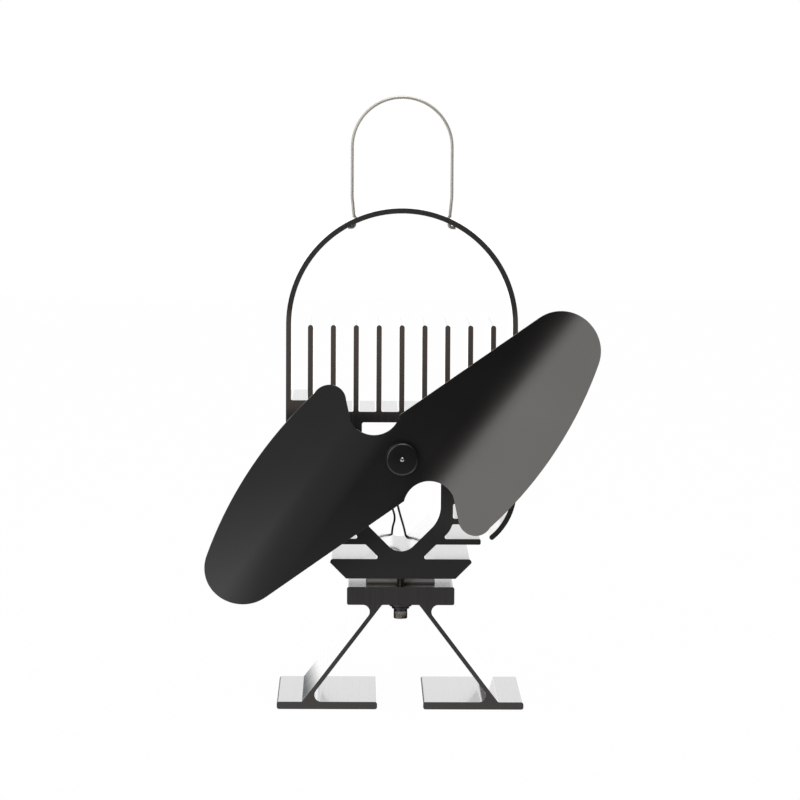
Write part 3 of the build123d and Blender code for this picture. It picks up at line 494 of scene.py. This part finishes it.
# A line of points with its corners rounded: straight from arc to arc, and on each arc the point
# is middle + radius (sin t · inward - cos t · side), with t from 0 to the corner's turn, inward
# along the run that comes in and side across it, towards the middle.
def roundedPath(corners, radii, steps):
    corners = [np.array(corner, dtype=float) for corner in corners]
    path = [corners[0][None]]
    for before, here, after, radius in zip(corners, corners[1:], corners[2:], radii):
        inward = (here - before) / np.linalg.norm(here - before)
        outward = (after - here) / np.linalg.norm(after - here)
        turn = np.arccos(np.clip(inward @ outward, -1, 1))
        start = here - inward * radius * np.tan(turn / 2)
        side = outward - inward * (inward @ outward)
        side /= np.linalg.norm(side)
        t = np.linspace(0, turn, steps)[:, None]
        middle = start + side * radius
        path.append(middle + radius * (np.sin(t) * inward - np.cos(t) * side))
    return np.concatenate(path + [corners[-1][None]])


# A round section carried along a path: the point at angle a is path + r (cos a · side + sin a ·
# up), where side is across the path and the given way, and up is across both.
def tube(path, radii, way, columns):
    way = np.asarray(way, dtype=float)
    along = np.gradient(path, axis=0)
    along /= np.linalg.norm(along, axis=1)[:, None]
    side = way - along * (along @ way)[:, None]
    side /= np.linalg.norm(side, axis=1)[:, None]
    up = np.cross(along, side)
    angles = np.linspace(0, 2 * np.pi, columns, endpoint=False)[None, :, None]
    radii = np.asarray(radii, dtype=float)[:, None, None]
    return path[:, None] + radii * (np.cos(angles) * side[:, None] + np.sin(angles) * up[:, None])


# The wire handle: a hook under the arch, a leg that leans out, a straight leg and a half round.
handle = {
    "wireRadius": 0.8, "columns": 24, "y": 28.5,
    "corners": ((27.4, 243.62), (23.9, 243.62), (25.4, 259.12), (25.4, 284.42)),   # x and z
    "radii": (1.7, 6.0), "steps": 14, "bowSteps": 97,
    "cutEdge": 0.2,
}


# The half round is (w cos t, y, bow height + w sin t), with w half the handle's width and t from
# 0 to half a turn. The left half is the right one mirrored.
def makeHandle(look):
    y, (halfWidth, bowZ) = look["y"], look["corners"][-1]
    right = roundedPath([(x, y, z) for x, z in look["corners"]], look["radii"], look["steps"])
    turn = np.linspace(0, np.pi, look["bowSteps"])[1:-1]
    bow = np.stack([halfWidth * np.cos(turn), np.full_like(turn, y),
                    bowZ + halfWidth * np.sin(turn)], axis=1)
    left = right[::-1] * np.array((-1.0, 1.0, 1.0))
    path = np.concatenate([right, bow, left])

    # one more ring close to each end eases its cut
    edge = look["cutEdge"]
    rings = [end + (inner - end) * edge / np.linalg.norm(inner - end)
             for end, inner in ((path[0], path[1]), (path[-1], path[-2]))]
    path = np.insert(path, (1, len(path) - 1), rings, axis=0)
    radii = np.full(len(path), look["wireRadius"])
    radii[[0, -1]] -= edge
    wire = surfaceMesh("handleWire", [tube(path, radii, (0, 1, 0), look["columns"])])
    addPiece(wire, "handle", "stainless_wire", ["handle_wire"])


makeHandle(handle)

# The hub: turned, with a flat face, a rounded rim and a bore for the shaft.
hub = {
    "radius": 8.2, "rim": 1.3, "rimSteps": 13, "front": -28.0, "seat": -21.4,
    "spigotRadius": 4.0, "back": -17.0, "boreRadius": 1.02, "boreEdge": 0.25, "columns": 96,
}


# Its rim is a quarter round: the radius is radius - rim + rim sin t at front + rim (1 - cos t).
def makeHub(look):
    turn = np.linspace(0, np.pi / 2, look["rimSteps"])
    front, rim = look["front"], look["rim"]
    radii = np.concatenate([
        [look["boreRadius"], look["boreRadius"] + look["boreEdge"]],
        look["radius"] - rim + rim * np.sin(turn),
        [look["radius"], look["spigotRadius"], look["spigotRadius"], look["boreRadius"]]])
    heights = np.concatenate([
        [front + look["boreEdge"], front], front + rim * (1 - np.cos(turn)),
        [look["seat"], look["seat"], look["back"], look["back"]]])
    grid = turned((0, 0, shaftZ), 1, radii, heights, look["columns"])
    piece = surfaceMesh("bladeHub", [grid], ring=True)
    addPiece(piece, "rotor", "black_nylon", ["blade_hub"])


makeHub(hub)

# The motor's shaft: ground, with eased ends and the centre drill's dimple in its front end.
shaft = {
    "radius": 1.0, "edge": 0.3, "edgeDepth": 0.22, "dimple": 0.6, "dimpleDepth": 0.65,
    "dimplePoint": 0.05, "columns": 32,
}


# It is a turned profile whose radius goes straight from each of these rows to the next.
def makeShaft(look):
    front, back = (corner[1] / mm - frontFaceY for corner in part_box("motor_shaft"))
    radius, edge = look["radius"], look["edge"]
    radii = [look["dimplePoint"], look["dimple"], radius - edge, radius, radius, radius - edge]
    heights = [front + look["dimpleDepth"], front, front, front + look["edgeDepth"], back - edge,
               back]
    grid = turned((0, 0, shaftZ), 1, radii, heights, look["columns"])
    piece = surfaceMesh("motorShaft", [grid], sharpAngle=25.0)
    addPiece(piece, "rotor", "ground_steel", ["motor_shaft"])


makeShaft(shaft)

# The two clamp screws: knurled heads with a hexagon socket below, and an M4 thread. The knurl
# is drawn with 30 ridges, coarser than a real one, so that it shows.
clampScrew = {
    "headLow": 46.05, "headTop": 50.05, "headRadius": 3.5, "edge": 0.4, "edgeShare": 0.3,
    "topEdge": 0.15, "topHole": 0.3, "ridges": 30, "ridgeDepth": 0.14, "ridgeEnd": 0.1,
    "plainBand": 0.3, "headColumns": 180,
    "socketWidth": 3.0, "socketDepth": 2.2, "socketEdge": 0.25, "socketPointShare": 0.1,
    "shankRadius": 2.0, "shankTop": 75.05, "threadDepth": 0.38, "pitch": 0.7,
    "rowsPerPitch": 6, "shankColumns": 32, "runIn": 0.2,
}


# The head's radius changes round its rows: a hexagon's is width / 2 / cos a, with a up to a
# twelfth turn from the middle of a side, and the knurl's is a cosine. The thread's depth is a
# triangle wave of height / pitch - turns, so it climbs one pitch a turn.
def makeClampScrews(look):
    low, top, radius = look["headLow"], look["headTop"], look["headRadius"]
    columns, edge = look["headColumns"], look["edge"]
    angles = np.linspace(0, 2 * np.pi, columns, endpoint=False)
    sixth = np.pi / 3
    hexagon = look["socketWidth"] / 2 / np.cos((angles + sixth / 2) % sixth - sixth / 2)
    ridge = radius - look["ridgeDepth"] * (0.5 + 0.5 * np.cos(look["ridges"] * angles))
    rim = look["socketWidth"] / 2 + look["socketEdge"] * 2
    floor, partEdge = low + look["socketDepth"], edge * look["edgeShare"]
    knurlLow, knurlTop = low + edge + look["plainBand"], top - look["plainBand"]
    headRows = [
        (hexagon * look["socketPointShare"], floor), (hexagon, floor),
        (hexagon, low + look["socketEdge"]), (rim, low), (radius - edge, low),
        (radius - partEdge, low + partEdge), (radius, low + edge),
        (radius, knurlLow - look["ridgeEnd"]), (ridge, knurlLow), (ridge, knurlTop),
        (radius, knurlTop + look["ridgeEnd"]), (radius, top - look["topEdge"]),
        (radius - look["topEdge"], top), (look["topHole"], top)]
    heads = np.stack([np.broadcast_to(row[0], columns) for row in headRows])
    headHeights = [row[1] for row in headRows]

    bottom, end = top - look["runIn"], look["shankTop"]
    rows = int((end - bottom) / look["pitch"] * look["rowsPerPitch"])
    heights = np.linspace(bottom, end, rows)
    turns = np.linspace(0, 1, look["shankColumns"], endpoint=False)
    wave = np.abs(((heights[:, None] / look["pitch"] - turns[None]) % 1) * 2 - 1)
    shank = look["shankRadius"] - look["threadDepth"] * wave
    shank[-1] = look["shankRadius"] - look["threadDepth"]
    grids = []
    for y in boltYs:
        grids += [turned((0, y, 0), 2, heads, headHeights, columns),
                  turned((0, y, 0), 2, shank, heights, look["shankColumns"])]
    piece = surfaceMesh("clampScrews", grids, sharpAngle=40.0)
    addPiece(piece, "stand", "black_oxide_steel", ["clamp_bolts"])


makeClampScrews(clampScrew)

# The motor's two leads run out of the module's rear edge, up behind the block and in to the
# motor. Each is one smooth line with these control points, in mm from the front faces.
leads = {
    "radius": 0.55, "order": 3, "segments": 10, "round": 5,
    "lead_left": ((-4.1, 45.5, 64.925), (-4.1, 57.2, 64.925), (-4.1, 59.2, 64.925),
                  (-4.1, 59.2, 72.0), (-4.1, 59.2, 84.6), (-2.1, 56.0, 91.0),
                  (-4.4, 50.0, 98.0), (-5.8, 38.0, 109.5), (-6.89, 27.5, 127.79),
                  (-6.89, 18.5, 127.79)),
    "lead_right": ((4.4, 45.5, 64.925), (4.4, 57.2, 64.925), (4.4, 59.2, 64.925),
                   (4.4, 59.2, 72.0), (3.3, 59.2, 82.2), (-1.1, 51.2, 97.2),
                   (-2.9, 36.2, 108.7), (-3.21, 27.5, 124.11), (-3.21, 18.5, 124.11)),
}


def makeLead(node, name, look):
    points = np.array(look[node]) + np.array((0.0, frontFaceY, 0.0))
    curve = bpy.data.curves.new(name, "CURVE")
    curve.dimensions = "3D"
    spline = curve.splines.new("NURBS")
    spline.points.add(len(points) - 1)
    spline.points.foreach_set("co", np.c_[points * mm, np.ones(len(points))].ravel())
    spline.order_u = look["order"]
    spline.use_endpoint_u = True
    curve.resolution_u = look["segments"]
    curve.bevel_depth = look["radius"] * mm
    curve.bevel_resolution = look["round"]
    curve.use_fill_caps = True
    addPiece(bpy.data.objects.new(name, curve), "stand", "lead_insulation", [node])


makeLead("lead_left", "leadLeft", leads)
makeLead("lead_right", "leadRight", leads)

# Shrink sleeves over the soldered ends: a short tube, drawn in at both ends.
sleeves = {"radius": 1.0, "inner": 0.6, "length": 5.0, "bulge": 0.4, "front": 17.2,
           "on": ("lead_left", "lead_right"), "columns": 24, "steps": 7}


# The radius is inner + (radius - inner) times sin t to the power of bulge, at length (1 - cos t)
# / 2, with t from 0 to half a turn.
def makeSleeves(look):
    turn = np.linspace(0, np.pi, look["steps"])
    radii = look["inner"] + (look["radius"] - look["inner"]) * np.sin(turn) ** look["bulge"]
    heights = look["length"] * (1 - np.cos(turn)) / 2
    ends = [leads[node][-1] for node in look["on"]]
    grids = [turned((x, look["front"], z), 1, radii, heights, look["columns"])
             for x, _, z in ends]
    addPiece(surfaceMesh("leadSleeves", grids), "stand", "lead_insulation")


makeSleeves(sleeves)

# A CAD node's own shape with its sharp edges eased, as tumbling or a deburring brush does.
easing = {
    "sharperThan": 40.0,                           # degrees
    "mergeWithin": 0.0005, "flatWithin": 0.05,     # mm, degrees
    "nodes": {
        "fan_blade": {"name": "fanBlade", "body": "rotor", "slot": "black_sheet",
                      "width": 0.15, "segments": 3},
        "base_extrusion": {"name": "baseExtrusion", "body": "stand", "slot": "black_anodised",
                           "width": 0.15, "segments": 2},
        "upper_heat_sink": {"name": "upperHeatSink", "body": "stand", "slot": "black_anodised",
                            "width": 0.15, "segments": 2},
    },
}


def easeNode(node, look, limits):
    work = bmesh.new()
    work.from_mesh(nodes[node].data)
    bmesh.ops.remove_doubles(work, verts=work.verts, dist=limits["mergeWithin"] * mm)
    bmesh.ops.dissolve_limit(work, angle_limit=math.radians(limits["flatWithin"]),
                             verts=work.verts, edges=work.edges)
    mesh = bpy.data.meshes.new(look["name"])
    work.to_mesh(mesh)
    work.free()
    piece = bpy.data.objects.new(look["name"], mesh)
    bevel = piece.modifiers.new("easedEdges", "BEVEL")
    bevel.limit_method = "ANGLE"
    bevel.angle_limit = math.radians(limits["sharperThan"])
    bevel.width = look["width"] * mm
    bevel.segments = look["segments"]
    bevel.use_clamp_overlap = True
    flats = piece.modifiers.new("flatsStayFlat", "WEIGHTED_NORMAL")
    flats.keep_sharp = False
    mesh.shade_smooth()
    addPiece(piece, look["body"], look["slot"], [node])


for node, look in easing["nodes"].items():
    easeNode(node, look, easing)
print("stage: pieces made for this scene")
